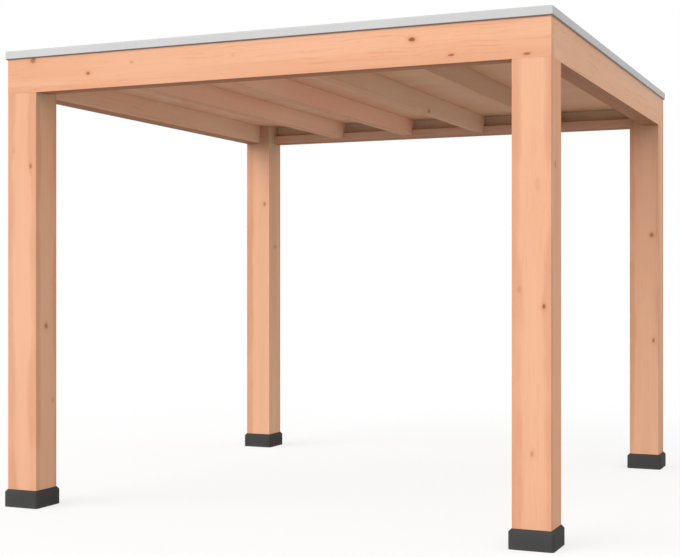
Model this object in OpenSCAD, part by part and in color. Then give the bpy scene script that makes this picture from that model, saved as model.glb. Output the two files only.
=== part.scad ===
// Wooden patio cover: four posts in shoes, a ring beam, rafters on ledgers and a flat roof with an edge trim

/* [Frame] */
// Width over the posts' outer faces
frame_w = 3000; // [2400:10:4000]
// Depth over the posts' outer faces
frame_d = 3000; // [2400:10:4000]
// Clear height from the ground to the underside of the ring beam
clear_h = 2237; // [1900:1:2700]
// Chamfer along the long edges of the timbers
timber_ease = 3; // [1:0.5:6]

/* [Posts] */
// Side of the square posts
post_side = 185; // [160:1:240]

/* [Post shoes] */
// Height of a shoe at the post's face
shoe_h = 95; // [60:1:160]
// Wall of a shoe around its post
shoe_wall = 15; // [10:0.5:25]
// Floor of a shoe under its post
shoe_floor = 8; // [4:0.5:20]
// Radius of a shoe's upright corners
shoe_corner_r = 16; // [16:0.5:30]
// Bevel of a shoe's top rim
shoe_bevel = 14; // [4:0.5:14.5]
// Gap between a post and the shoe's wall
shoe_gap = 0.3; // [0.1:0.1:0.8]

/* [Ring beam] */
// Thickness of the ring beam
beam_t = 45; // [35:1:60]
// Height of the ring beam
beam_h = 190; // [160:1:240]

/* [Ledgers] */
// Width of a ledger
ledger_w = 60; // [40:1:80]
// Height of a ledger
ledger_h = 56; // [45:1:65]

/* [Rafters] */
// Thickness of the rafters, the edge rafters included
rafter_t = 62; // [45:1:75]
// Height of the rafters
rafter_h = 112; // [95:1:122]
// Distance between the middles of neighbouring rafters
rafter_pitch = 527; // [300:1:560]

/* [Roof] */
// Drop from the top of the ring beam to the underside of the deck
deck_drop = 62; // [40:1:75]
// Thickness of the deck
deck_t = 18; // [12:1:24]
// Thickness of the membrane
membrane_t = 2; // [1:0.5:4]

/* [Roof trim] */
// Height of the trim above its seat
trim_up = 40; // [30:1:48]
// Lap of the trim's lip below its seat
trim_lap = 8; // [2:0.5:12]
// Reach of the trim's face past the ring beam
trim_reach = 10; // [8:0.5:20]
// Thickness of the trim's sheet
trim_t = 2.5; // [1.5:0.5:4]
// Radius over the trim's rounded top
trim_top_r = 8; // [6:0.5:12]
// Lean of the trim's back leg: its run over its length
trim_lean = 0.28; // [0.28:steep, 0.6:flat]
// Width of the lip turned in at the foot of the trim's face
trim_lip_w = 6; // [3:0.5:7]
// Distance from the ring beam's outer face to the inner edge of the trim's flange
trim_flange_w = 40; // [32:1:44]
// Width of the joint between two mitred trims
trim_joint = 0.6; // [0.2:0.1:2]

/* [Hidden] */
$fn = 48;
overrun = 5;
rafter_count = 4;
shoe_side = post_side + 2 * (shoe_wall + shoe_gap);
beam_top = clear_h + beam_h;
inner_w = frame_w - 2 * beam_t;
inner_d = frame_d - 2 * beam_t;
bay_w = frame_w - 2 * post_side;
bay_d = frame_d - 2 * post_side;
deck_low = beam_top - deck_drop;
deck_top = deck_low + deck_t;
rafter_low = deck_low - rafter_h;
ledger_top = clear_h + ledger_h;
trim_seat = beam_top + membrane_t;
trim_top_x = trim_reach - trim_top_r;
trim_top_z = trim_up - trim_top_r;
trim_rise = sqrt(1 - pow(trim_lean, 2));
trim_inner_r = trim_top_r - trim_t;

// Rectangle with its lower edge on the axis and its four corners cut off
module eased_section(w, h) {
    e = timber_ease;
    polygon([[-w / 2 + e, 0], [w / 2 - e, 0], [w / 2, e], [w / 2, h - e],
        [w / 2 - e, h], [-w / 2 + e, h], [-w / 2, h - e], [-w / 2, e]]);
}

// Timber along X, centred, with its underside at height z
module timber_x(l, t, h, z) {
    translate([-l / 2, 0, z])
        rotate([90, 0, 90])
            linear_extrude(l)
                eased_section(t, h);
}

// Timber along Y, centred, with its underside at height z
module timber_y(l, t, h, z) {
    rotate([0, 0, 90])
        timber_x(l, t, h, z);
}

// Box centred on the vertical axis between two heights
module block(w, d, low, high) {
    translate([-w / 2, -d / 2, low])
        cube([w, d, high - low]);
}

// Moves a piece that is drawn at the back right corner to one of the four corners
module at_corner(side_x, side_y) {
    mirror([side_x < 0 ? 1 : 0, 0, 0])
        mirror([0, side_y < 0 ? 1 : 0, 0])
            translate([(frame_w - post_side) / 2, (frame_d - post_side) / 2, 0])
                children();
}

// Post with two rebates at its head that take the ring beam and leave a stub under the deck
module post() {
    rebate = post_side / 2 - beam_t;
    color("#f4b995")
        difference() {
            translate([0, 0, shoe_floor])
                linear_extrude(deck_low - shoe_floor)
                    translate([0, -post_side / 2])
                        eased_section(post_side, post_side);
            translate([rebate, -post_side / 2 - overrun, clear_h])
                cube([beam_t + overrun, post_side + 2 * overrun, beam_h]);
            translate([-post_side / 2 - overrun, rebate, clear_h])
                cube([post_side + 2 * overrun, beam_t + overrun, beam_h]);
        }
}

// Lower body of a shoe: a square prism with round upright corners
module shoe_body(h) {
    core = shoe_side - 2 * shoe_corner_r;
    block(core, shoe_side, 0, h);
    block(shoe_side, core, 0, h);
    for (x = [-core / 2, core / 2], y = [-core / 2, core / 2])
        translate([x, y, 0])
            cylinder(h = h, r = shoe_corner_r);
}

// Bevelled rim of a shoe: sloping sides between round corners that taper with them
module shoe_rim(low) {
    core = shoe_side - 2 * shoe_corner_r;
    half = shoe_side / 2;
    for (turn = [0, 90])
        rotate([0, 0, turn])
            translate([-core / 2, 0, low])
                rotate([90, 0, 90])
                    linear_extrude(core)
                        polygon([[-half, 0], [half, 0], [half - shoe_bevel, shoe_bevel],
                            [shoe_bevel - half, shoe_bevel]]);
    for (x = [-core / 2, core / 2], y = [-core / 2, core / 2])
        translate([x, y, low])
            cylinder(h = shoe_bevel, r1 = shoe_corner_r, r2 = shoe_corner_r - shoe_bevel);
}

// Shoe: a sleeve with a floor that the post stands on
module shoe() {
    socket = post_side + 2 * shoe_gap;
    color("#4e4e4e")
        difference() {
            union() {
                shoe_body(shoe_h - shoe_bevel);
                shoe_rim(shoe_h - shoe_bevel);
            }
            block(socket, socket, shoe_floor, shoe_h + overrun);
        }
}

// Front and back ring beam run through from corner to corner
module through_beam(side_y) {
    color("#f4b995")
        translate([0, side_y * (frame_d - beam_t) / 2, 0])
            timber_x(frame_w, beam_t, beam_h, clear_h);
}

// Side ring beams butt between the front and back ones
module side_beam(side_x) {
    color("#cfa286")
        translate([side_x * (frame_w - beam_t) / 2, 0, 0])
            timber_y(inner_d, beam_t, beam_h, clear_h);
}

// Ledger along the foot of a through beam, between the posts
module ledger(side_y) {
    color("#94715c")
        translate([0, side_y * (inner_d - ledger_w) / 2, 0])
            timber_x(bay_w, ledger_w, ledger_h, clear_h);
}

// Edge rafter against a side beam, between the posts, down to the beam's underside
module edge_rafter(side_x) {
    color("#a87e65")
        translate([side_x * (inner_w - rafter_t) / 2, 0, 0])
            timber_y(bay_d, rafter_t, deck_low - clear_h, clear_h);
}

// Rafter between the through beams, notched at both ends over the ledgers; number 1 is the left one
module rafter(number) {
    place = number - (rafter_count + 1) / 2;
    color("#a87e65")
        translate([place * rafter_pitch, 0, 0])
            difference() {
                timber_y(inner_d, rafter_t, rafter_h, rafter_low);
                for (side_y = [-1, 1])
                    translate([0, side_y * (inner_d - ledger_w + overrun) / 2, 0])
                        block(rafter_t + 2 * overrun, ledger_w + overrun, rafter_low - overrun, ledger_top);
            }
}

// Deck on the rafters and the posts' stubs, inside the ring
module roof_deck() {
    color("#a97f66")
        block(inner_w, inner_d, deck_low, deck_top);
}

// Membrane: a tray on the deck that turns up the ring beam and folds over its top
module roof_membrane() {
    color("#3a3b3d")
        difference() {
            union() {
                block(inner_w, inner_d, deck_top, trim_seat);
                block(frame_w, frame_d, beam_top, trim_seat);
            }
            block(inner_w - 2 * membrane_t, inner_d - 2 * membrane_t, deck_top + membrane_t, trim_seat + overrun);
        }
}

// Where the trim's top at radius r runs out into the back leg
function back_start(r) = [trim_top_x - r * trim_rise, trim_top_z + r * trim_lean];

// Where the back leg's side at radius r comes down to height z
function back_foot(r, z) = [back_start(r).x - (back_start(r).y - z) * trim_lean / trim_rise, z];

// Face of the trim with the lip at its foot, with the beam's outer face at x = 0 and the seat at y = 0
module trim_face() {
    lip_z = trim_lip_w - trim_lap;
    lip_end = trim_reach - trim_lip_w;
    lip_cut = trim_t / sqrt(2);
    polygon([[trim_reach - trim_t, trim_top_z], [trim_reach - trim_t, lip_z + 2 * lip_cut - trim_t],
        [lip_end - lip_cut, lip_cut - trim_lap], [lip_end, -trim_lap], [trim_reach, lip_z],
        [trim_reach, trim_top_z]]);
}

// Rounded top of the trim, from the face round to the back leg
module trim_top() {
    clear_r = trim_top_r + overrun;
    translate([trim_top_x, trim_top_z])
        difference() {
            circle(trim_top_r);
            circle(trim_inner_r);
            polygon([[0, 0], clear_r * [-trim_rise, trim_lean], [-clear_r, -clear_r],
                [clear_r, -clear_r], [clear_r, 0]]);
        }
}

// Back leg of the trim with its flange
module trim_back() {
    polygon([back_start(trim_top_r), back_foot(trim_top_r, trim_t), [-trim_flange_w, trim_t],
        [-trim_flange_w, 0], back_foot(trim_inner_r, 0), back_start(trim_inner_r)]);
}

// Strip of length l along X, its section's outer side towards -Y
module strip(l) {
    translate([-l / 2, 0, trim_seat])
        rotate([90, 0, 90])
            linear_extrude(l)
                mirror([1, 0])
                    children();
}

// Trim along X with its outer side towards -Y, mitred at both ends, over a frame side of length l
module trim(l) {
    outer = trim_reach + overrun;
    inner = trim_flange_w + overrun;
    cut = trim_joint * sqrt(2) / 2;
    color("#d6d6d6")
        intersection() {
            union() {
                strip(l + 2 * outer) trim_face();
                strip(l + 2 * outer) trim_top();
                strip(l + 2 * outer) trim_back();
            }
            translate([0, 0, trim_seat - trim_lap - overrun])
                linear_extrude(trim_up + trim_lap + 2 * overrun)
                    polygon([[-l / 2 - outer + cut, -outer], [l / 2 + outer - cut, -outer],
                        [l / 2 - inner - cut, inner], [-l / 2 + inner + cut, inner]]);
        }
}

// Turns a trim to one of the four sides: quarter turns from the front
module at_side(turns, d) {
    rotate([0, 0, turns * 90])
        translate([0, -d / 2, 0])
            children();
}

at_corner(-1, -1) post();  // post_front_left
at_corner(1, -1) post();  // post_front_right
at_corner(-1, 1) post();  // post_back_left
at_corner(1, 1) post();  // post_back_right
at_corner(-1, -1) shoe();  // shoe_front_left
at_corner(1, -1) shoe();  // shoe_front_right
at_corner(-1, 1) shoe();  // shoe_back_left
at_corner(1, 1) shoe();  // shoe_back_right
through_beam(-1);  // front_beam
through_beam(1);  // back_beam
side_beam(-1);  // left_beam
side_beam(1);  // right_beam
ledger(-1);  // front_ledger
ledger(1);  // back_ledger
edge_rafter(-1);  // left_edge_rafter
edge_rafter(1);  // right_edge_rafter
rafter(1);  // rafter_1
rafter(2);  // rafter_2
rafter(3);  // rafter_3
rafter(4);  // rafter_4
roof_deck();
roof_membrane();
at_side(0, frame_d) trim(frame_w);  // front_trim
at_side(1, frame_w) trim(frame_d);  // right_trim
at_side(2, frame_d) trim(frame_w);  // back_trim
at_side(3, frame_w) trim(frame_d);  // left_trim
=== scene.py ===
import math

import bmesh
import bpy
import numpy as np
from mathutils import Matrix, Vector


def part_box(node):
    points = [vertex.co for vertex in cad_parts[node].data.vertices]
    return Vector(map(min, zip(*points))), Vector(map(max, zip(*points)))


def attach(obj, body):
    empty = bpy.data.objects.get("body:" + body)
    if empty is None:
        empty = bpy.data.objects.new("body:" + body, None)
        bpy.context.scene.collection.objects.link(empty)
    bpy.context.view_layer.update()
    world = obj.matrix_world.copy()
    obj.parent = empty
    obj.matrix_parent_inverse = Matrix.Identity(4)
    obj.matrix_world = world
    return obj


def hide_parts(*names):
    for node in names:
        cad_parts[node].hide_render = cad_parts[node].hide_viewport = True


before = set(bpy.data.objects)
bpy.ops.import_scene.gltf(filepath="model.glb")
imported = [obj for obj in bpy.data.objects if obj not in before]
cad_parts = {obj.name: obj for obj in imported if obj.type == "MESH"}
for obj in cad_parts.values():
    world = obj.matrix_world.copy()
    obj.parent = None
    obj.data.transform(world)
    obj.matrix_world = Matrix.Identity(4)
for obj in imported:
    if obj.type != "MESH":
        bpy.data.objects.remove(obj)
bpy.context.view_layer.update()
print("frame loaded:", len(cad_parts), "nodes")

touching = 1e-6                               # points nearer than this, in metres, count as one
leastRadius = 0.0005                          # of a corner that would close up, in metres
slant = math.sqrt(0.5)                        # either side of a slope of 45 degrees and length 1
halfBevel = math.tan(math.radians(45 / 2))    # how far the arc of a bend of 45 degrees starts from its corner
white = (1.0, 1.0, 1.0, 1.0)


# Shader sums: a socket that takes part in Python expressions, each sum adding one Math node
class Link:
    def __init__(self, finish, socket):
        self.finish = finish
        self.socket = socket

    def sum(self, operation, first, second=0.0):
        return self.finish.node("ShaderNodeMath", {"operation": operation}, {0: first, 1: second})

    def __add__(self, other):
        return self.sum("ADD", self, other)

    def __radd__(self, other):
        return self.sum("ADD", other, self)

    def __sub__(self, other):
        return self.sum("SUBTRACT", self, other)

    def __rsub__(self, other):
        return self.sum("SUBTRACT", other, self)

    def __mul__(self, other):
        return self.sum("MULTIPLY", self, other)

    def __rmul__(self, other):
        return self.sum("MULTIPLY", other, self)

    def __truediv__(self, other):
        return self.sum("DIVIDE", self, other)

    def fraction(self):
        return self.sum("FRACT", self)

    def least(self, other):
        return self.sum("MINIMUM", self, other)

    def most(self, other):
        return self.sum("MAXIMUM", self, other)

    # 0 below low and 1 above high, with a soft step between
    def rise(self, low, high):
        return self.finish.node("ShaderNodeMapRange", {"interpolation_type": "SMOOTHSTEP"},
                                {"Value": self, "From Min": low, "From Max": high})

    def fall(self, low, high):
        return 1 - self.rise(low, high)


# The nodes of a material or of the world, with the few calls that their expressions need
class Finish:
    def __init__(self, owner):
        owner.use_nodes = True
        self.owner = owner
        self.tree = owner.node_tree
        self.tree.nodes.clear()

    # Any node: its type, its settings, then the values or links of its sockets
    def node(self, kind, settings=None, sockets=None, out=0):
        made = self.tree.nodes.new(kind)
        for key, value in (settings or {}).items():
            setattr(made, key, value)
        for key, value in (sockets or {}).items():
            if isinstance(value, Link):
                self.tree.links.new(value.socket, made.inputs[key])
            else:
                made.inputs[key].default_value = value
        return Link(self, made.outputs[out]) if made.outputs else None

    def attribute(self, name, out="Fac"):
        return self.node("ShaderNodeAttribute", {"attribute_name": name}, out=out)

    def objectPlace(self):
        return self.node("ShaderNodeTexCoord", out="Object")

    def vector(self, operation, first, second):
        return self.node("ShaderNodeVectorMath", {"operation": operation}, {0: first, 1: second})

    def stretch(self, vector, factors):
        return self.vector("MULTIPLY", vector, factors)

    def length(self, vector):
        return self.node("ShaderNodeVectorMath", {"operation": "LENGTH"}, {0: vector}, "Value")

    def combine(self, x, y, z):
        return self.node("ShaderNodeCombineXYZ", None, {0: x, 1: y, 2: z})

    def part(self, vector, index):
        return self.node("ShaderNodeSeparateXYZ", None, {0: vector}, index)

    # Noise at a place, as sort says; the seed sets one piece apart from another
    def noise(self, vector, sort, seed=0.0, out=0):
        sockets = {"Vector": self.stretch(vector, sort["scale"]), "W": seed + sort["seed"], "Scale": 1.0,
                   "Detail": sort["detail"], "Roughness": sort["rough"]}
        return self.node("ShaderNodeTexNoise", {"noise_dimensions": "4D"}, sockets, out)

    # The same noise as a vector about zero, times reach
    def drift(self, vector, sort, seed, reach):
        colours = self.noise(vector, sort, seed, "Color")
        return self.stretch(self.vector("SUBTRACT", colours, (0.5, 0.5, 0.5)), reach)

    # Cells about scattered points: the distance to the nearest point, or a colour drawn for it
    def cells(self, vector, scale, out):
        return self.node("ShaderNodeTexVoronoi", None, {"Vector": vector, "Scale": scale}, out)

    def mix(self, share, first, second, blend="MIX"):
        return self.node("ShaderNodeMix", {"data_type": "RGBA", "blend_type": blend},
                         {0: share, 6: first, 7: second}, 2)

    # Closes the material: roughness and bump height are sums of the layers, each times its share in the look
    def close(self, look, colour, layers):
        rough = sum((layers[key] * share for key, share in look["roughBy"].items()), look["rough"])
        height = sum(layers[key] * share for key, share in look["heightBy"].items())
        bump = self.node("ShaderNodeBump", None, {"Height": height, "Distance": look["bumpDepth"],
                                                  "Strength": look["bumpStrength"]})
        sockets = {"Base Color": colour, "Roughness": rough, "Normal": bump,
                   "Specular IOR Level": look["gloss"]}
        shader = self.node("ShaderNodeBsdfPrincipled", None, sockets)
        self.node("ShaderNodeOutputMaterial", None, {"Surface": shader})
        return self.owner


# How a noise changes: times in a metre each way, a seed of its own, detail and roughness
def noiseSort(scale, seed=0.0, detail=2.0, rough=0.5):
    return {"scale": scale, "seed": seed, "detail": detail, "rough": rough}


# A colour as a picture shows it, 0 to 255, made linear for the shader by the sRGB curve
def tone(red, green, blue):
    shown = np.array([red, green, blue]) / 255
    linear = np.where(shown <= 0.04045, shown / 12.92, ((shown + 0.055) / 1.055) ** 2.4)
    return (*linear, 1.0)


# Camera at the eye point of the picture: level, turned to the left, with a small shift
cameraLook = {"place": (2.9486, -7.2748, 1.2261), "tiltDegrees": 90.0, "turnDegrees": 23.5961,
              "lens": 68.973, "sensor": 36.0, "shift": (0.01019, 0.00293), "clipEnd": 200.0}


def makeCamera(look):
    data = bpy.data.cameras.new("camera")
    data.sensor_fit = "HORIZONTAL"
    data.sensor_width = look["sensor"]
    data.lens = look["lens"]
    data.shift_x, data.shift_y = look["shift"]
    data.clip_end = look["clipEnd"]
    camera = bpy.data.objects.new("camera", data)
    camera.location = look["place"]
    camera.rotation_euler = (math.radians(look["tiltDegrees"]), 0, math.radians(look["turnDegrees"]))
    bpy.context.scene.collection.objects.link(camera)
    bpy.context.scene.camera = camera


makeCamera(cameraLook)
print("camera placed")


# Low and high corner of a node of the frame
def corners(node):
    return [np.array(corner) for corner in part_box(node)]


# Half width of the ring beam outside, its half widths inside along x and y, and its foot and top
beamLow, beamHigh = corners("front_beam")
ringOuter = beamHigh[0]
ringInner = (corners("right_beam")[0][0], -beamHigh[1])
ringFoot, ringTop = beamLow[2], beamHigh[2]
postInner = corners("post_front_right")[0][0]     # half width between the posts
ledgerLow, ledgerHigh = corners("back_ledger")
finishes = {}                                     # material of each slot


# Quads between neighbouring rings of a tube, as indices: rings by points, the points running round
def tubeFaces(rings, points):
    start = np.arange(rings - 1)[:, None] * points
    here = np.arange(points)[None, :]
    after = (here + 1) % points
    quads = [start + here, start + after, start + points + after, start + points + here]
    return np.stack(quads, axis=-1).reshape(-1, 4).tolist()


# One closed solid from an array of rings (ring, point, xyz), its two ends closed by flat faces
def tubeSolid(rings):
    count, points = rings.shape[:2]
    ends = [list(range(points))[::-1], list(range((count - 1) * points, count * points))]
    return rings.reshape(-1, 3), tubeFaces(count, points) + ends


# A piece from one or more solids (points, faces), with point attributes, doubles merged and normals outward
def makePiece(name, solids, attributes, node, slot, sharpDegrees):
    places = np.concatenate([points for points, quads in solids])
    starts = np.cumsum([0] + [len(points) for points, quads in solids])
    faces = [[index + start for index in face]
             for start, (points, quads) in zip(starts, solids) for face in quads]
    mesh = bpy.data.meshes.new(name)
    mesh.from_pydata(places, [], faces)
    for key, values in attributes.items():
        kind, field = ("FLOAT_VECTOR", "vector") if values.ndim == 2 else ("FLOAT", "value")
        layer = mesh.attributes.new(key, kind, "POINT")
        layer.data.foreach_set(field, values.astype(np.float32).ravel())
    work = bmesh.new()
    work.from_mesh(mesh)
    bmesh.ops.remove_doubles(work, verts=work.verts, dist=touching)
    bmesh.ops.dissolve_degenerate(work, edges=work.edges, dist=touching)
    bmesh.ops.recalc_face_normals(work, faces=work.faces)
    work.to_mesh(mesh)
    work.free()
    mesh.shade_smooth()
    mesh.set_sharp_from_angle(angle=math.radians(sharpDegrees))
    mesh.materials.append(finishes[slot])
    piece = bpy.data.objects.new(name, mesh)
    bpy.context.scene.collection.objects.link(piece)
    weighted = piece.modifiers.new("weighted", "WEIGHTED_NORMAL")
    weighted.keep_sharp = True
    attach(piece, "root")
    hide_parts(node)


# Rounded rectangle: a quarter arc about each corner's centre, drawn in by inset; all arrays broadcast
def roundedRectangle(halfA, halfB, radius, inset, steps):
    quarter = np.arange(4)
    angle = (np.linspace(0, math.pi / 2, steps + 1)[None, :] + quarter[:, None] * math.pi / 2).ravel()
    signA = np.repeat([1, -1, -1, 1], steps + 1)
    signB = np.repeat([1, 1, -1, -1], steps + 1)
    sideA = signA * (halfA - radius) + (radius - inset) * np.cos(angle)
    sideB = signB * (halfB - radius) + (radius - inset) * np.sin(angle)
    return sideA, sideB


# Points of an arc about a centre, from one angle to another in degrees
def arc(centre, radius, start, stop, steps):
    angle = np.radians(np.linspace(start, stop, steps + 1))
    return np.stack([centre[0] + radius * np.cos(angle), centre[1] + radius * np.sin(angle)], axis=-1)


# Knots that the picture shows, by slot: timber, face, place along and up from the face's lower corner,
# half width, reach into the wood, half height, and how dark each is
woodKnots = {
    "post_timber": [
        ("post_front_right", "front", 0.095, 0.431, 0.009, 0.02, 0.016, 0.35),
        ("post_front_right", "front", 0.151, 1.101, 0.010, 0.03, 0.015, 0.85),
        ("post_front_right", "right", 0.075, 1.749, 0.018, 0.03, 0.020, 0.40),
        ("post_front_right", "front", 0.122, 1.652, 0.018, 0.02, 0.034, 0.10),
        ("post_front_right", "front", 0.036, 1.179, 0.010, 0.02, 0.020, 0.22),
        ("post_front_left", "front", 0.149, 1.834, 0.010, 0.03, 0.018, 0.65),
        ("post_front_left", "front", 0.039, 1.920, 0.012, 0.03, 0.020, 0.15),
        ("post_front_left", "right", 0.089, 0.971, 0.016, 0.03, 0.018, 0.70),
        ("post_front_left", "right", 0.152, 0.563, 0.012, 0.03, 0.018, 0.30),
        ("post_back_left", "front", 0.146, 1.781, 0.013, 0.03, 0.020, 0.55),
        ("post_back_left", "right", 0.095, 1.467, 0.030, 0.03, 0.020, 0.30),
        ("post_back_right", "front", 0.141, 1.514, 0.015, 0.03, 0.019, 0.75),
        ("post_back_right", "front", 0.153, 0.828, 0.011, 0.03, 0.018, 0.70)],
    "beam_timber": [
        ("front_beam", "front", 0.165, 0.174, 0.020, 0.03, 0.020, 0.75),
        ("front_beam", "front", 0.516, 0.081, 0.017, 0.03, 0.010, 0.75),
        ("front_beam", "front", 0.785, 0.123, 0.013, 0.02, 0.009, 0.25),
        ("front_beam", "front", 1.380, 0.115, 0.014, 0.02, 0.008, 0.14),
        ("front_beam", "front", 2.332, 0.125, 0.021, 0.03, 0.012, 1.00),
        ("front_beam", "front", 2.525, 0.038, 0.018, 0.03, 0.008, 0.80),
        ("front_beam", "front", 2.887, 0.020, 0.019, 0.03, 0.008, 0.80)],
    "rafter_timber": [("rafter_3", "right", 1.723, 0.009, 0.020, 0.03, 0.012, 0.80)],
}


# Place and reach of a knot along x, y and z, and how dark it is
def placeKnot(timber, face, along, up, wide, deep, tall, dark):
    low, high = corners(timber)
    if face == "front":
        return (low[0] + along, low[1], low[2] + up), (wide, deep, tall), dark
    return (high[0], low[1] + along, low[2] + up), (deep, wide, tall), dark


# Wood: its colours, the share of each layer, then each layer's noise and between which values it sets in or
# fades; lengths are in metres, and distances from a knot in knot radii
planedWood = {
    "early": tone(247, 192, 157), "late": tone(228, 163, 126), "warm": tone(241, 172, 130),
    "heart": (0.89, 0.82, 0.80, 1.0), "fleck": tone(176, 108, 74), "end": tone(206, 146, 108),
    "knot": tone(158, 94, 62), "knotHalo": tone(222, 148, 108),
    "lateShare": 0.06, "bandShare": 0.50, "fibreShare": 0.16, "streakShare": 0.35, "warmShare": 0.25,
    "heartShare": 0.9, "fleckShare": 0.10, "knotShare": 0.8, "haloShare": 0.35, "endShare": 0.22,
    "wander": noiseSort((2.2, 2.2, 0.9)), "wanderReach": (0.020, 0.020, 0.0),
    "ringWidth": 0.0052, "lateRise": (0.25, 0.90), "lateFall": (0.92, 1.0),
    "bands": noiseSort((20.0, 0.45, 1.0)), "bandRise": (0.30, 0.72),
    "patches": noiseSort((4, 4, 0.8), seed=5.0), "patchRise": (0.35, 0.65), "warmRise": (0.35, 0.7),
    "sway": noiseSort((3.0, 3.0, 4.0), seed=11.0), "swayReach": (0.036, 0.036, 0.0),
    "streaks": noiseSort((150, 150, 2.2), seed=3.0, detail=3.0, rough=0.6), "streakRise": (0.50, 0.72),
    "fibres": noiseSort((600, 600, 9), rough=0.6),
    "flecks": noiseSort((420, 420, 14), seed=9.0, detail=1.0), "fleckRise": (0.66, 0.74),
    "ebb": noiseSort((7, 7, 2.0), seed=7.0), "ebbRise": (0.22, 0.55),
    "heartRise": (0.103, 0.116), "heartWander": 0.045,
    "knotCells": (14.0, 14.0, 8.0), "knotRadius": 0.13, "knotDraw": (0.70, 0.72), "palestKnot": 0.3,
    "awayRise": (0.4, 0.6), "noKnot": 40, "ragged": noiseSort((60, 60, 60), detail=1.0), "raggedReach": 0.7,
    "knotFall": (0.45, 1.15), "haloFall": (0.9, 3.2), "placedFall": (0.40, 1.10), "placedHalo": (0.8, 2.6),
    "bendFall": (0.7, 4.5), "knotSwell": 0.002, "knotAside": 0.008,
    "rough": 0.62, "roughBy": {"late": 0.08, "knot": -0.10, "fibres": 0.10, "end": 0.12},
    "heightBy": {"late": 0.5, "fibres": 0.35, "flecks": -0.6, "knot": 0.5, "streaks": -0.3},
    "gloss": 0.06, "bumpDepth": 0.0006, "bumpStrength": 0.35}
beamWood = dict(planedWood, early=tone(250, 196, 161), heartRise=(0.135, 0.190), heartShare=0.6,
                streaks=dict(planedWood["streaks"], scale=(110, 110, 2.6)), streakShare=0.85,
                warmShare=0.4, endShare=0.10)
rafterWood = dict(planedWood, early=tone(249, 208, 176), late=tone(235, 186, 150), ringWidth=0.0044,
                  heartShare=0.0, rough=0.65, bumpStrength=0.5)
sheetWood = dict(planedWood, early=tone(250, 212, 182), late=tone(238, 192, 158), ringWidth=0.016,
                 bands=noiseSort((10.0, 0.45, 1.0)), lateShare=0.20, knotShare=0.3, haloShare=0.2,
                 heartShare=0.0, rough=0.65)


# Wood: growth rings as distance from the pith, which wanders along the timber and swells round knots
def woodFinish(name, look, knots):
    made = Finish(bpy.data.materials.new(name))
    place = made.objectPlace()
    grain = made.attribute("grain", "Vector")     # across, up and along from the pith, in metres
    seed = made.attribute("seed")                 # one number for each timber
    endGrain = made.attribute("cutEnd")           # 1 on the sawn ends

    # Knots scattered over the faces that look back or left: distance to the nearest one
    ragged = look["raggedReach"] * (made.noise(place, look["ragged"], seed) - 0.5)
    spread = made.vector("ADD", made.stretch(grain, look["knotCells"]), made.combine(seed, seed, seed))
    drawn = made.cells(spread, 1.0, "Color")
    normal = made.node("ShaderNodeNewGeometry", out="Normal")
    looksAway = (made.part(normal, 1) - made.part(normal, 0)).rise(*look["awayRise"])
    holdsKnot = looksAway * made.part(drawn, 0).rise(*look["knotDraw"])
    nearest = made.cells(spread, 1.0, "Distance") / look["knotRadius"]
    nearest = nearest + look["noKnot"] * (1 - holdsKnot) + ragged     # cells without a knot lie far off
    darkness = look["palestKnot"] + (1 - look["palestKnot"]) * made.part(drawn, 1)
    knot = nearest.fall(*look["knotFall"]) * look["knotShare"] * darkness
    halo = nearest.fall(*look["haloFall"]) * look["haloShare"]

    # Placed knots: each one's distance joins the nearest, and its stain the others
    for at, reach, dark in (placeKnot(*row) for row in knots):
        away = made.length(made.vector("DIVIDE", made.vector("SUBTRACT", place, at), reach)) + ragged
        nearest = nearest.least(away)
        knot = knot.most(away.fall(*look["placedFall"]) * dark)
        halo = halo.most(away.fall(*look["placedHalo"]) * (dark * look["haloShare"]))

    # Rings and the broad bands that they form
    byKnot = nearest.fall(*look["bendFall"])
    bent = made.vector("ADD", grain, made.drift(grain, look["wander"], seed, look["wanderReach"]))
    radius = made.length(made.stretch(bent, (1, 1, 0))) + look["knotSwell"] * byKnot
    ring = (radius / look["ringWidth"]).fraction()
    late = ring.rise(*look["lateRise"]) * ring.fall(*look["lateFall"])
    bands = made.noise(made.combine(radius, made.part(grain, 2), seed), look["bands"], seed)

    # Streaks that sway and part at the knots, fibres and flecks, and the redder wood far from the pith
    patches = made.noise(grain, look["patches"], seed)
    aside = look["knotAside"] * byKnot
    swayed = made.vector("ADD", bent, made.drift(grain, look["sway"], seed, look["swayReach"]))
    swayed = made.vector("ADD", swayed, made.combine(aside, aside, 0.0))
    streaks = made.noise(swayed, look["streaks"], seed).rise(*look["streakRise"])
    fibres = made.noise(grain, look["fibres"], seed)
    flecks = made.noise(grain, look["flecks"], seed).rise(*look["fleckRise"])
    ebb = made.noise(grain, look["ebb"], seed)
    heart = (radius + look["heartWander"] * (ebb - 0.5)).rise(*look["heartRise"])
    heart = heart * look["heartShare"] * ebb.rise(*look["ebbRise"])

    dark = look["lateShare"] * late + look["bandShare"] * bands.rise(*look["bandRise"])
    dark = dark + look["fibreShare"] * fibres
    dark = dark + look["streakShare"] * streaks * patches.rise(*look["patchRise"])
    colour = made.mix(dark, look["early"], look["late"])
    colour = made.mix(patches.rise(*look["warmRise"]) * look["warmShare"], colour, look["warm"])
    colour = made.mix(heart, colour, look["heart"], "MULTIPLY")
    colour = made.mix(flecks * look["fleckShare"], colour, look["fleck"])
    colour = made.mix(halo, colour, look["knotHalo"])
    colour = made.mix(knot, colour, look["knot"])
    colour = made.mix(endGrain * look["endShare"], colour, look["end"])
    # The tint attribute paints light and shade: each timber's own tint, the undersides' painted shade and the
    # inner faces' painted shade
    colour = made.stretch(colour, made.attribute("tint", "Vector"))
    return made.close(look, colour, {"late": late, "fibres": fibres - 0.5, "flecks": flecks, "knot": knot,
                                     "streaks": streaks, "end": endGrain})


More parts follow.
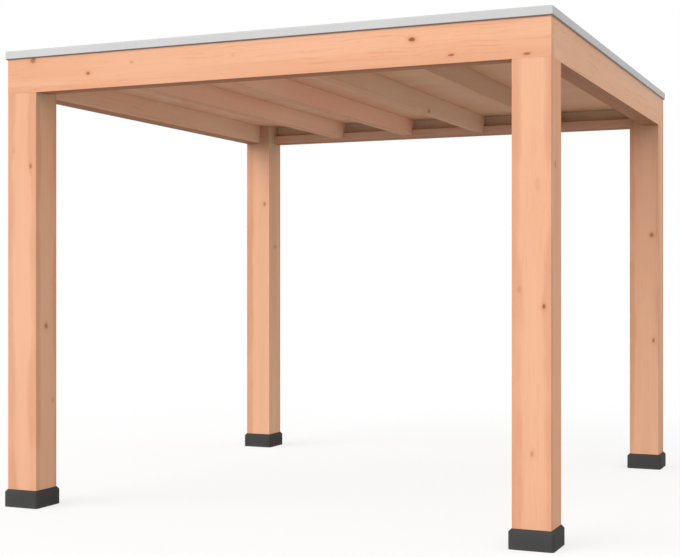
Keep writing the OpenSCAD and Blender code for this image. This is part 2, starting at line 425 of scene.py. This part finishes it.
finishes["post_timber"] = woodFinish("post wood", planedWood, woodKnots["post_timber"])
finishes["beam_timber"] = woodFinish("beam wood", beamWood, woodKnots["beam_timber"])
finishes["rafter_timber"] = woodFinish("rafter wood", rafterWood, woodKnots["rafter_timber"])
finishes["roof_deck"] = woodFinish("deck panel", sheetWood, [])
print("wood finishes made")


# Timbers: a rounded rectangle carried along each timber, its end edges rounded over by a quarter arc
timberShape = {"edgeRadius": 0.0025, "endRadius": 0.0015, "arcSteps": 3, "sharpDegrees": 40.0}
beamShape = dict(timberShape, edgeRadius=0.0014, endRadius=0.0008)
endRings = timberShape["arcSteps"] + 2        # rings at a timber's end: its arc and one of the cut's two
# Pith of each timber, across and up from its middle, and the tint of some: painted light and shade, matched
# to how each piece is lit, which also sets the pieces apart
timberWood = {
    "post_front_left": {"pith": (0.004, 0.006)},
    "post_front_right": {"pith": (0.010, 0.004)},
    "post_back_left": {"pith": (0.030, -0.010), "tint": (1.05, 1.12, 1.17)},
    "post_back_right": {"pith": (0.014, -0.012), "tint": (1.02, 1.08, 1.11)},
    "front_beam": {"pith": (0.085, 0.045)},
    "back_beam": {"pith": (-0.090, 0.020)},
    "left_beam": {"pith": (0.080, 0.035)},
    "right_beam": {"pith": (-0.095, -0.020), "tint": (1.04, 1.14, 1.19)},
    "front_ledger": {"pith": (0.070, 0.050), "tint": (0.95, 1.1, 1.25)},
    "back_ledger": {"pith": (-0.065, 0.055), "tint": (0.75, 0.91, 1.06)},
    "left_edge_rafter": {"pith": (-0.080, 0.030), "tint": (1.0, 1.32, 1.52)},
    "right_edge_rafter": {"pith": (0.085, 0.015), "tint": (1.0, 1.2, 1.3)},
    "rafter_1": {"pith": (0.075, -0.060), "tint": (1.07, 1.18, 1.30)},
    "rafter_2": {"pith": (-0.085, 0.050), "tint": (1.10, 1.15, 1.27)},
    "rafter_3": {"pith": (0.090, 0.045), "tint": (0.95, 1.10, 1.20)},
    "rafter_4": {"pith": (-0.070, -0.070), "tint": (0.79, 0.88, 0.96)},
}
plainTint = (1.0, 1.0, 1.0)
seedStep = 1.7                                # from one timber's seed to the next one's
# Painted shade on the undersides, which makes them darker and browner, and the tint of the beams' sawn ends
undersidePaintedShade = {"beam_timber": (0.50, 0.43, 0.37), "rafter_timber": (0.80, 0.72, 0.67)}
endTint = {"beam_timber": (1.05, 1.07, 1.03)}


# The two cross axes of a timber that runs along axis 0, 1 or 2
def crossAxes(axis):
    return [(1, 2), (0, 2), (0, 1)][axis]


# Rings of one timber: stations along it, drawn in at both ends so that the end edges are quarter arcs;
# at each cut two rings lie on each other
def timberRings(low, high, axis, shape, cuts=()):
    turn = np.linspace(math.pi / 2, 0, shape["arcSteps"] + 1)
    over = shape["endRadius"] * (1 - np.sin(turn))       # how far a station of the arc lies from the end
    drawIn = shape["endRadius"] * (1 - np.cos(turn))     # how far its outline is drawn in there
    middle = np.repeat(np.array(sorted(cuts), dtype=float), 2)
    station = np.concatenate([low[axis] + over, middle, high[axis] - over[::-1]])
    inset = np.concatenate([drawIn, np.zeros(len(middle)), drawIn[::-1]])
    first, second = crossAxes(axis)
    halfA, halfB = (high[first] - low[first]) / 2, (high[second] - low[second]) / 2
    sideA, sideB = roundedRectangle(halfA, halfB, shape["edgeRadius"], inset[:, None], shape["arcSteps"])
    rings = np.zeros((len(station), sideA.shape[1], 3))
    rings[..., axis] = station[:, None]
    rings[..., first] = (low[first] + high[first]) / 2 + sideA
    rings[..., second] = (low[second] + high[second]) / 2 + sideB
    cutEnd = np.zeros(rings.shape[:2])
    cutEnd[[0, -1]] = 1.0
    return rings, cutEnd.ravel()


# Grain of a timber: each point's place measured from the pith, across, up and along
def grainOf(points, axis, middle, pith):
    first, second = crossAxes(axis)
    across = points[:, first] - middle[first] - pith[0]
    up = points[:, second] - middle[second] - pith[1]
    return np.stack([across, up, points[:, axis]], axis=-1)


# Tint of a timber's points: its own tint, which paints light and shade, painted shade on the underside with
# its edges inside the ring, and the tint of sawn ends
def tintOf(name, slot, points, cutEnd, foot, edgeRadius):
    tint = np.tile(timberWood[name].get("tint", plainTint), (len(points), 1))
    if slot in undersidePaintedShade:
        height = points[:, 2] - foot
        within = np.abs(points[:, :2]).max(axis=1) < ringOuter - edgeRadius - touching
        tint[(height < touching) | within & (height < edgeRadius - touching)] = undersidePaintedShade[slot]
    if slot in endTint:
        tint[cutEnd > 0] = endTint[slot]
    return tint


def makeTimber(name, axis, slot, shape, press=None, cuts=(), shade=None):
    low, high = corners(name)
    rings, cutEnd = timberRings(low, high, axis, shape, cuts)
    if press:
        press(rings)
    points, faces = tubeSolid(rings)
    tint = tintOf(name, slot, points, cutEnd, low[2], shape["edgeRadius"])
    if shade:
        tint = tint * shade(points)
    grain = grainOf(points, axis, (low + high) / 2, timberWood[name]["pith"])
    seed = np.full(len(points), seedStep * (1 + list(timberWood).index(name)))
    attributes = {"grain": grain, "cutEnd": cutEnd, "seed": seed, "tint": tint}
    makePiece(name + "_wood", [(points, faces)], attributes, name, slot, shape["sharpDegrees"])


# Post head: above the ring beam's foot no point lies outside the beams' inner faces
def pressPostHead(rings):
    upper = rings[..., 2] >= ringFoot - touching
    upper[:-endRings] = False
    for side, half in enumerate(ringInner):
        rings[..., side] = np.where(upper, np.clip(rings[..., side], -half, half), rings[..., side])


# Rafter notch: over the ledgers no point lies lower than their top
def pressRafterEnds(rings):
    over = np.zeros(rings.shape[:2], dtype=bool)
    over[:endRings] = True
    over[-endRings:] = True
    rings[..., 2] = np.where(over, np.maximum(rings[..., 2], ledgerHigh[2]), rings[..., 2])


# Painted shade on the inner faces of the posts and the back beam: on the posts it is darker towards the head,
# by a power of the height
innerPaintedShade = {"reach": 0.45, "steps": 8, "power": 3, "frontHead": (0.63, 0.70, 0.72),
              "sideHead": (0.78, 1.0, 1.06), "side": (1.0, 1.06, 1.06), "backBeam": (0.765, 1.10, 1.29)}


# True for points on faces across an axis that look into the shelter and lie as far as half from its middle
def innerFaces(points, axis, half):
    return (np.abs(points[:, axis]) < half + touching)[:, None]


# Painted shade on a post's inner faces, darker towards the head
def shadePost(points):
    rise = np.clip(1 + (points[:, 2] - ringFoot) / innerPaintedShade["reach"], 0, 1)[:, None] ** innerPaintedShade["power"]
    frontTint = 1 + rise * (np.array(innerPaintedShade["frontHead"]) - 1)
    sideTint = np.array(innerPaintedShade["side"]) * (1 + rise * (np.array(innerPaintedShade["sideHead"]) - 1))
    tint = np.where(innerFaces(points, 0, postInner), sideTint, 1.0)
    return np.where(innerFaces(points, 1, postInner), frontTint, tint)


# Painted shade on the back beam's inner face: less red and bluer, standing in for the shade of its recess
def shadeBackBeam(points):
    return np.where(innerFaces(points, 1, ringInner[1]), innerPaintedShade["backBeam"], 1.0)


# Rings below the ring beam's foot that carry the steps of the posts' painted shade
postCuts = ringFoot - np.linspace(innerPaintedShade["reach"], 0, innerPaintedShade["steps"])
for end in ("front", "back"):
    for side in ("left", "right"):
        makeTimber("post_%s_%s" % (end, side), 2, "post_timber", timberShape, pressPostHead, postCuts,
                   shadePost)
    makeTimber(end + "_beam", 0, "beam_timber", beamShape, shade=shadeBackBeam if end == "back" else None)
    makeTimber(end + "_ledger", 0, "beam_timber", beamShape)
for side in ("left", "right"):
    makeTimber(side + "_beam", 1, "beam_timber", beamShape)
    makeTimber(side + "_edge_rafter", 1, "beam_timber", beamShape)
for number in (1, 2, 3, 4):
    makeTimber("rafter_%d" % number, 1, "rafter_timber", timberShape, pressRafterEnds,
               [-ledgerLow[1], ledgerLow[1]])
print("timbers made")


# Deck: panels side by side that meet over the middle rafters
deckShape = {"jointOver": ("rafter_2", "rafter_3"), "gap": 0.002, "edgeRadius": 0.001, "endRadius": 0.001,
             "arcSteps": 2, "sharpDegrees": 40.0, "pith": ((0.10, -0.16), (-0.14, -0.18), (0.12, -0.15)),
             "tints": ((0.92, 0.87, 0.84), (0.88, 0.83, 0.80), (0.85, 0.79, 0.74)),
             "firstSeed": 41.0, "seedStep": 3.0}


def makeDeck(shape):
    low, high = corners("roof_deck")
    joints = [sum(corner[0] for corner in corners(node)) / 2 for node in shape["jointOver"]]
    edges = [low[0] - shape["gap"] / 2, *joints, high[0] + shape["gap"] / 2]
    solids = []
    layers = {"grain": [], "seed": [], "cutEnd": [], "tint": []}
    for number, (pith, tint) in enumerate(zip(shape["pith"], shape["tints"])):
        panelLow, panelHigh = low.copy(), high.copy()
        panelLow[0] = edges[number] + shape["gap"] / 2
        panelHigh[0] = edges[number + 1] - shape["gap"] / 2
        rings, cutEnd = timberRings(panelLow, panelHigh, 0, shape)
        points, faces = tubeSolid(rings)
        solids.append((points, faces))
        layers["grain"].append(grainOf(points, 0, (panelLow + panelHigh) / 2, pith))
        layers["seed"].append(np.full(len(points), shape["firstSeed"] + shape["seedStep"] * number))
        layers["cutEnd"].append(cutEnd)
        layers["tint"].append(np.tile(tint, (len(points), 1)))
    attributes = {key: np.concatenate(values) for key, values in layers.items()}
    makePiece("roof_deck_panels", solids, attributes, "roof_deck", "roof_deck", shape["sharpDegrees"])


makeDeck(deckShape)
print("deck made")


# Moulded rubber of the shoes: a fine pebbled skin, a little scuffed on the rim and dusty near the ground
shoeRubber = {"colour": tone(73, 73, 73), "scuff": tone(90, 90, 90), "dust": tone(104, 101, 96),
              "clouds": noiseSort((9, 9, 9), seed=2.0, detail=4.0), "cloudRise": (0.35, 0.75),
              "speckle": noiseSort((260, 260, 260), seed=3.0), "rimRise": (0.40, 0.70),
              "dustFall": (0.0, 0.03), "dustRise": (0.3, 0.7), "pebblesPerMetre": 420.0,
              "cloudShare": 0.22, "rimShare": 0.35, "dustShare": 0.30,
              "rough": 0.66, "roughBy": {"clouds": 0.14, "speckle": 0.10},
              "heightBy": {"pebbles": 1.0, "speckle": 0.5},
              "gloss": 0.03, "bumpDepth": 0.0004, "bumpStrength": 0.35}


def shoeFinish(look):
    made = Finish(bpy.data.materials.new("shoe rubber"))
    place = made.objectPlace()
    pebbles = made.cells(place, look["pebblesPerMetre"], "Distance")
    clouds = made.noise(place, look["clouds"])
    speckle = made.noise(place, look["speckle"])
    low = made.part(place, 2).fall(*look["dustFall"])
    scuffed = made.attribute("rim") * speckle.rise(*look["rimRise"])      # the attribute is 1 on the rim
    colour = made.mix(clouds.rise(*look["cloudRise"]) * look["cloudShare"], look["colour"], look["scuff"])
    colour = made.mix(scuffed * look["rimShare"], colour, look["scuff"])
    colour = made.mix(low * clouds.rise(*look["dustRise"]) * look["dustShare"], colour, look["dust"])
    return made.close(look, colour, {"clouds": clouds - 0.5, "speckle": speckle - 0.5, "pebbles": pebbles})


# Shoe: a section from the middle of the sole, out and up the side, over the bevelled rim and down the
# socket, carried round a square with round corners; each section point is a half side and a height
shoeShape = {"cornerRadius": 0.016, "soleRadius": 0.003, "bevel": 0.014, "rimRadius": 0.002,
             "socketGap": 0.0003, "floor": 0.008, "middle": 0.004, "cornerSteps": 8, "arcSteps": 4,
             "sharpDegrees": 30.0}


def shoeSection(half, height, socketHalf, shape):
    sole, rim, steps = shape["soleRadius"], shape["rimRadius"], shape["arcSteps"]
    middle, floor = shape["middle"], shape["floor"]
    blend = rim * halfBevel
    top = np.array([half - shape["bevel"], height])
    upperCentre = top - blend * np.array([-slant, slant]) - rim * np.array([slant, slant])
    outside = arc((half - sole, sole), sole, -90, 0, steps)
    lower = arc((half - rim, height - shape["bevel"] - blend), rim, 0, 45, steps)
    upper = arc(upperCentre, rim, 45, 90, steps)
    inside = [[socketHalf, upper[-1, 1]], [socketHalf, floor], [middle, floor]]
    return np.concatenate([[[middle, 0.0]], outside, lower, upper, inside])


def makeShoe(corner, shape):
    low, high = corners("shoe_" + corner)
    postLow, postHigh = corners("post_" + corner)
    middle = (low + high) / 2
    half = (high[0] - low[0]) / 2
    height = high[2] - low[2]
    section = shoeSection(half, height, (postHigh[0] - postLow[0]) / 2 + shape["socketGap"], shape)
    reach, heights = section[:, :1], section[:, 1:]
    # The corner radius grows with the half side, so that all rings share the corner's centre
    radius = np.maximum(shape["cornerRadius"] + reach - half, leastRadius)
    sideA, sideB = roundedRectangle(reach, reach, radius, 0.0, shape["cornerSteps"])
    rise = np.broadcast_to(low[2] + heights, sideA.shape)
    rings = np.stack([middle[0] + sideA, middle[1] + sideB, rise], axis=-1)
    onRim = np.abs(section[:, 1] - (height - shape["bevel"])) < shape["rimRadius"]
    rim = np.repeat(onRim.astype(float), rings.shape[1])
    makePiece("shoe_%s_moulded" % corner, [tubeSolid(rings)], {"rim": rim}, "shoe_" + corner, "shoe",
              shape["sharpDegrees"])


finishes["shoe"] = shoeFinish(shoeRubber)
for end in ("front", "back"):
    for side in ("left", "right"):
        makeShoe("%s_%s" % (end, side), shoeShape)
print("shoes made")


# Coat of the roof trim: faint clouds, runs down the face, fine grit, and a painted shadow on the lip at its
# foot
trimCoat = {"colour": tone(206, 206, 205), "shade": tone(199, 199, 199), "streak": tone(184, 183, 181),
            # colour of the painted shadow under the trim, on its lip
            "foot": tone(122, 97, 82),
            "clouds": noiseSort((2.5, 2.5, 6), seed=1.0, detail=4.0), "cloudRise": (0.3, 0.7),
            "runs": noiseSort((55, 55, 3), seed=4.0), "runRise": (0.58, 0.80),
            "grit": noiseSort((240, 240, 240), seed=6.0), "gritRise": (0.50, 0.75),
            "cloudShare": 0.6, "runShare": 0.18, "gritShare": 0.25, "lipShadowShare": 0.9,
            "rough": 0.50, "roughBy": {"clouds": 0.12, "grit": 0.10}, "heightBy": {"grit": 1.0},
            "gloss": 0.5, "bumpDepth": 0.0003, "bumpStrength": 0.25}


def trimFinish(look):
    made = Finish(bpy.data.materials.new("trim coat"))
    place = made.objectPlace()
    clouds = made.noise(place, look["clouds"])
    runs = made.noise(place, look["runs"])
    grit = made.noise(place, look["grit"])
    colour = made.mix(clouds.rise(*look["cloudRise"]) * look["cloudShare"], look["colour"], look["shade"])
    colour = made.mix(runs.rise(*look["runRise"]) * look["runShare"], colour, look["streak"])
    colour = made.mix(grit.rise(*look["gritRise"]) * look["gritShare"], colour, look["streak"])
    # Painted shadow under the trim, on the lip
    colour = made.mix(made.attribute("foot") * look["lipShadowShare"], colour, look["foot"])
    return made.close(look, colour, {"clouds": clouds - 0.5, "grit": grit - 0.5})


# Roof trim: one pressed sheet with a flat face, a lip at its foot, a rounded top, a back leg and a flange;
# its corner radius is the one at the beam's face, and it grows outwards
trimShape = {"cornerRadius": -0.007, "sheet": 0.0025, "topRadius": 0.008, "lean": 0.28, "lip": 0.006,
             "flange": 0.040, "fold": 0.0025, "joint": 0.0006, "topSteps": 12, "foldSteps": 4,
             "cornerSteps": 6, "sharpDegrees": 35.0}


# Section of the trim as offset from the beam's face and height over the seat: from the lip's end up the
# outside and over the top to the flange, then back along the inside
def trimSection(reach, up, lap, shape):
    sheet, outer, lean, fold = shape["sheet"], shape["topRadius"], shape["lean"], shape["fold"]
    inner, rise = outer - sheet, math.sqrt(1 - lean ** 2)
    centre = np.array([reach - outer, up - outer])
    leanTurn = math.degrees(math.atan2(lean, -rise))      # where the rounded top runs out into the back leg
    lipFoot = shape["lip"] - lap                          # height at which the face turns into the lip
    lipEnd = np.array([reach - shape["lip"], -lap])
    skew = sheet * slant
    half = (1 + lean) / rise                              # tangent of the half turn between leg and flange

    # Foot of the back leg's outer or inner side at a height
    def legFoot(radius, height):
        start = centre + radius * np.array([-rise, lean])
        return np.array([start[0] - (start[1] - height) * lean / rise, height])

    lipFold = arc((reach - fold, lipFoot + fold * halfBevel), fold, -45, 0, shape["foldSteps"])
    top = arc(centre, outer, 0, leanTurn, shape["topSteps"])
    foldCentre = legFoot(outer, sheet) + fold * np.array([-1 / half, 1.0])
    flangeFold = arc(foldCentre, fold, leanTurn - 180, -90, shape["foldSteps"])
    flangeEdge = [[-shape["flange"], sheet], [-shape["flange"], 0.0]]
    under = arc(centre, inner, leanTurn, 0, shape["topSteps"])
    lipInside = [[reach - sheet, lipFoot + 2 * skew - sheet], lipEnd + skew * np.array([-1.0, 1.0])]
    legEnd = [legFoot(inner, 0.0)]
    return np.concatenate([[lipEnd], lipFold, top, flangeFold, flangeEdge, legEnd, under, lipInside])


# The section carried along the front: turned about the corner's centre up to the mitre, straight between
def trimRings(section, halfLength, shape):
    offset, height = section[:, 0], section[:, 1]
    corner = shape["cornerRadius"]
    turn = np.linspace(math.pi / 4, 0, shape["cornerSteps"] + 1)[:, None]
    outside = np.maximum(corner + offset, 0.0)[None, :]
    inside = np.minimum(corner + offset, 0.0)[None, :]
    acrossEnd = halfLength - corner + outside * np.sin(turn) + inside
    depthEnd = -(halfLength - corner) - outside * np.cos(turn) - inside
    acrossEnd[0] -= shape["joint"] * slant
    across = np.concatenate([-acrossEnd, acrossEnd[::-1]])
    depth = np.concatenate([depthEnd, depthEnd[::-1]])
    return np.stack([across, depth, np.broadcast_to(height, across.shape)], axis=-1)


# Screws through the flange: a section from the head's rim over its dome into the drive socket, spun round
screwShape = {"count": 9, "fromCorner": 0.13, "inFromBeam": 0.025, "radius": 0.0050, "rise": 0.0026,
              "rim": 0.0006, "flatRadius": 0.002185, "socketRadius": 0.0019, "socketDepth": 0.0013,
              "domeSteps": 4, "sides": 14}


def screwSolids(halfLength, base, shape):
    turn = np.linspace(0, 1, shape["domeSteps"] + 1) * math.pi / 2
    dome = shape["flatRadius"] + (shape["radius"] - shape["flatRadius"]) * np.cos(turn)
    domeRise = shape["rim"] + (shape["rise"] - shape["rim"]) * np.sin(turn)
    socketFloor = shape["rise"] - shape["socketDepth"]
    reach = np.concatenate([[shape["radius"]], dome, [shape["socketRadius"]] * 2])[:, None]
    height = np.concatenate([[0.0], domeRise, [shape["rise"], socketFloor]])[:, None]
    angle = np.linspace(0, 2 * math.pi, shape["sides"], endpoint=False)[None, :]
    across, depth = reach * np.cos(angle), reach * np.sin(angle)
    head = np.stack([across, depth, np.broadcast_to(base + height, across.shape)], axis=-1)
    places = np.linspace(-1, 1, shape["count"]) * (halfLength - shape["fromCorner"])
    return [tubeSolid(head + np.array([place, shape["inFromBeam"] - halfLength, 0.0])) for place in places]


# One trim: made as the front one on its seat, then turned about the middle by quarter turns
def makeTrim(side, turns, shape):
    low, high = corners(side + "_trim")
    seat = corners("roof_membrane")[1][2]
    reach = high[turns % 2] - ringOuter
    section = trimSection(reach, high[2] - seat, seat - low[2], shape)
    rings = trimRings(section, ringOuter, shape)
    screws = screwSolids(ringOuter, shape["sheet"], screwShape)
    foot = np.zeros(len(section))                         # 1 on the lip, where the shadow under the trim is painted
    foot[[0, 1, -2, -1]] = 1.0
    foot = np.concatenate([np.tile(foot, len(rings)), np.zeros(sum(len(points) for points, faces in screws))])
    angle = turns * math.pi / 2
    turn = np.array([[math.cos(angle), math.sin(angle), 0.0],
                     [-math.sin(angle), math.cos(angle), 0.0],
                     [0.0, 0.0, 1.0]])
    solids = [tubeSolid(rings)] + screws
    solids = [(points @ turn + np.array([0.0, 0.0, seat]), faces) for points, faces in solids]
    makePiece(side + "_trim_pressed", solids, {"foot": foot}, side + "_trim", "roof_trim",
              shape["sharpDegrees"])


finishes["roof_trim"] = trimFinish(trimCoat)
for turns, side in enumerate(("front", "right", "back", "left")):
    makeTrim(side, turns, trimShape)
print("trims made")


# Rubber of the roof membrane: dust where rain dried, the line that it left, and specks all over
rubberSheet = {"colour": tone(50, 51, 53), "dust": tone(116, 113, 107),
               "pools": noiseSort((0.95, 0.95, 0.95), seed=1.0, detail=5.0), "dryRise": (0.50, 0.64),
               "markRise": (0.475, 0.505), "markFall": (0.508, 0.545), "brokenRise": (0.35, 0.65),
               "clouds": noiseSort((7, 7, 7), seed=5.0, detail=4.0, rough=0.6), "dustRise": (0.40, 0.75),
               "fine": noiseSort((180, 180, 180), seed=2.0), "speckRise": (0.50, 0.80),
               "dryShare": 0.20, "markShare": 0.26, "dustShare": 0.14, "speckShare": 0.10,
               "rough": 0.62, "roughBy": {"dust": 0.30, "fine": 0.08},
               "heightBy": {"fine": 1.0, "clouds": 0.5},
               "gloss": 0.35, "bumpDepth": 0.0004, "bumpStrength": 0.4}


def rubberFinish(look):
    made = Finish(bpy.data.materials.new("membrane rubber"))
    place = made.objectPlace()
    pools = made.noise(place, look["pools"])
    clouds = made.noise(place, look["clouds"])
    fine = made.noise(place, look["fine"])
    mark = pools.rise(*look["markRise"]) * pools.fall(*look["markFall"]) * clouds.rise(*look["brokenRise"])
    dust = look["dryShare"] * pools.rise(*look["dryRise"]) + look["markShare"] * mark
    dust = dust + look["dustShare"] * clouds.rise(*look["dustRise"])
    dust = dust + look["speckShare"] * fine.rise(*look["speckRise"])
    colour = made.mix(dust, look["colour"], look["dust"])
    return made.close(look, colour, {"dust": dust, "fine": fine - 0.5, "clouds": clouds - 0.5})


# Roof membrane: a section from the middle of the roof, out to the beam, up its inner face and over its top
membraneShape = {"cornerRadius": 0.006, "bend": 0.008, "fold": 0.003, "middle": 0.01, "cornerSteps": 6,
                 "sideSteps": 60, "floorRings": 60, "foldSteps": 4, "sharpDegrees": 40.0,
                 "creases": ((-0.50, 0.46), (-0.44, 0.53)), "creaseRise": 0.0030, "creaseWidth": 0.040,
                 "waves": ((5.2, 2.1, 0.4), (-3.1, 6.3, 1.9), (8.7, -4.9, 3.3)), "waveRise": 0.0024,
                 "fadePower": 6}


# Straight sides of rings with round corners, cut into steps from each arc's end to the next one's start
def cutSides(side, steps):
    arcs = side.reshape(len(side), 4, -1)
    start, stop = arcs[:, :, -1:], np.roll(arcs[:, :, :1], -1, axis=1)
    share = np.linspace(0, 1, steps + 1)[1:-1]
    return np.concatenate([arcs, start + (stop - start) * share], axis=2).reshape(len(side), -1)


# How far the loose sheet stands off the deck: bell-shaped creases where it was folded, and the mean of a few
# sine waves, both dying out towards the upstand
def membraneLift(x, y, flat, shape):
    fade = 1 - np.clip(np.maximum(np.abs(x), np.abs(y)) / flat, 0, 1) ** shape["fadePower"]
    ridges = sum(np.exp(-((along - at) / shape["creaseWidth"]) ** 2)
                 for along, places in zip((x, y), shape["creases"]) for at in places)
    waves = sum(1 + np.sin(turnX * x + turnY * y + phase) for turnX, turnY, phase in shape["waves"])
    return fade * (shape["creaseRise"] * ridges + shape["waveRise"] * waves / (2 * len(shape["waves"])))


# Upper face first, from the middle outwards, then the under face back to the middle: half side and height
def membraneSection(innerHalf, outerHalf, floorTop, seat, sheet, shape):
    bend, crest, steps = shape["bend"], shape["fold"], shape["foldSteps"]
    wall = innerHalf - sheet
    floor = np.linspace(shape["middle"], wall - bend, shape["floorRings"])
    upper = np.stack([floor, np.full_like(floor, floorTop)], axis=-1)
    cove = arc((wall - bend, floorTop + bend), bend, -90, 0, steps)
    fold = arc((wall + crest, seat - crest), crest, 180, 90, steps)
    seatUnder, floorUnder = seat - sheet, floorTop - sheet
    edge = [[outerHalf, seat], [outerHalf, seatUnder], [innerHalf, seatUnder], [innerHalf, floorUnder]]
    under = np.stack([floor[::-1], np.full_like(floor, floorUnder)], axis=-1)
    return np.concatenate([upper, cove[1:], fold, edge, under])


def makeMembrane(shape):
    high = corners("roof_membrane")[1]
    deckTop = corners("roof_deck")[1][2]
    inner = ringInner[0]
    sheet = high[2] - ringTop
    section = membraneSection(inner, high[0], deckTop + sheet, high[2], sheet, shape)
    reach, heights = section[:, :1], section[:, 1:]
    radius = np.maximum(shape["cornerRadius"] + reach - inner, leastRadius)
    radius[[0, -1]] = shape["middle"]                     # the innermost rings are circles
    outline = roundedRectangle(reach, reach, radius, 0.0, shape["cornerSteps"])
    sideA, sideB = (cutSides(side, shape["sideSteps"]) for side in outline)
    rise = np.repeat(heights, sideA.shape[1], axis=1)
    top = slice(0, shape["floorRings"])
    rise[top] += membraneLift(sideA[top], sideB[top], inner - sheet - shape["bend"], shape)
    rings = np.stack([sideA, sideB, rise], axis=-1)
    makePiece("roof_membrane_sheet", [tubeSolid(rings)], {}, "roof_membrane", "roof_membrane",
              shape["sharpDegrees"])


finishes["roof_membrane"] = rubberFinish(rubberSheet)
makeMembrane(membraneShape)
print("membrane made")


# Pale floor that shows white and keeps a light shadow; from below it lets the view through
stageLook = {"size": 80.0, "albedo": 0.55, "shadowShare": 0.30, "whiteLevel": 1.05, "worldLevel": 0.655}
# Soft lamps far away: strength, breadth in degrees and where they stand
lampLook = {"key": (1.73, 60.0, (-0.571, -0.731, 0.375)), "fill": (0.42, 60.0, (0.70, -0.66, 0.26))}


# 1 for the rays that should see the white surroundings
def seenRays(made):
    kinds = ("Is Camera Ray", "Is Glossy Ray", "Is Transmission Ray")
    straight, glossy, through = (made.node("ShaderNodeLightPath", out=kind) for kind in kinds)
    return straight.most(glossy).most(through)


def makeStage(look):
    made = Finish(bpy.data.materials.new("floor white"))
    bounce = made.node("ShaderNodeBsdfDiffuse", None, {"Color": (look["albedo"],) * 3 + (1.0,)})
    shadowed = made.node("ShaderNodeBsdfDiffuse", None, {"Color": white})
    bright = made.node("ShaderNodeEmission", None, {"Color": white, "Strength": look["whiteLevel"]})
    shown = made.node("ShaderNodeMixShader", None, {0: look["shadowShare"], 1: bright, 2: shadowed})
    surface = made.node("ShaderNodeMixShader", None, {0: seenRays(made), 1: bounce, 2: shown})
    clear = made.node("ShaderNodeBsdfTransparent", None, {"Color": white})
    below = made.node("ShaderNodeNewGeometry", out="Backfacing")
    both = made.node("ShaderNodeMixShader", None, {0: below, 1: surface, 2: clear})
    made.node("ShaderNodeOutputMaterial", None, {"Surface": both})
    half = look["size"] / 2
    places = [(-half, -half, 0), (half, -half, 0), (half, half, 0), (-half, half, 0)]
    mesh = bpy.data.meshes.new("floor")
    mesh.from_pydata(places, [], [(0, 1, 2, 3)])
    mesh.materials.append(made.owner)
    floor = bpy.data.objects.new("floor", mesh)
    bpy.context.scene.collection.objects.link(floor)


def makeLight(look, lamps):
    for name, (level, breadth, place) in lamps.items():
        data = bpy.data.lights.new(name, "SUN")
        data.energy = level
        data.angle = math.radians(breadth)
        lamp = bpy.data.objects.new(name, data)
        lamp.rotation_euler = (-Vector(place)).to_track_quat("-Z", "Y").to_euler()
        bpy.context.scene.collection.objects.link(lamp)
    world = bpy.data.worlds.new("studio")
    bpy.context.scene.world = world
    made = Finish(world)
    level = look["worldLevel"] + (1 - look["worldLevel"]) * seenRays(made)
    shader = made.node("ShaderNodeBackground", None, {"Color": white, "Strength": level})
    made.node("ShaderNodeOutputWorld", None, {"Surface": shader})
    bpy.context.scene.view_settings.view_transform = "Standard"


makeStage(stageLook)
makeLight(stageLook, lampLook)
print("stage and light made")
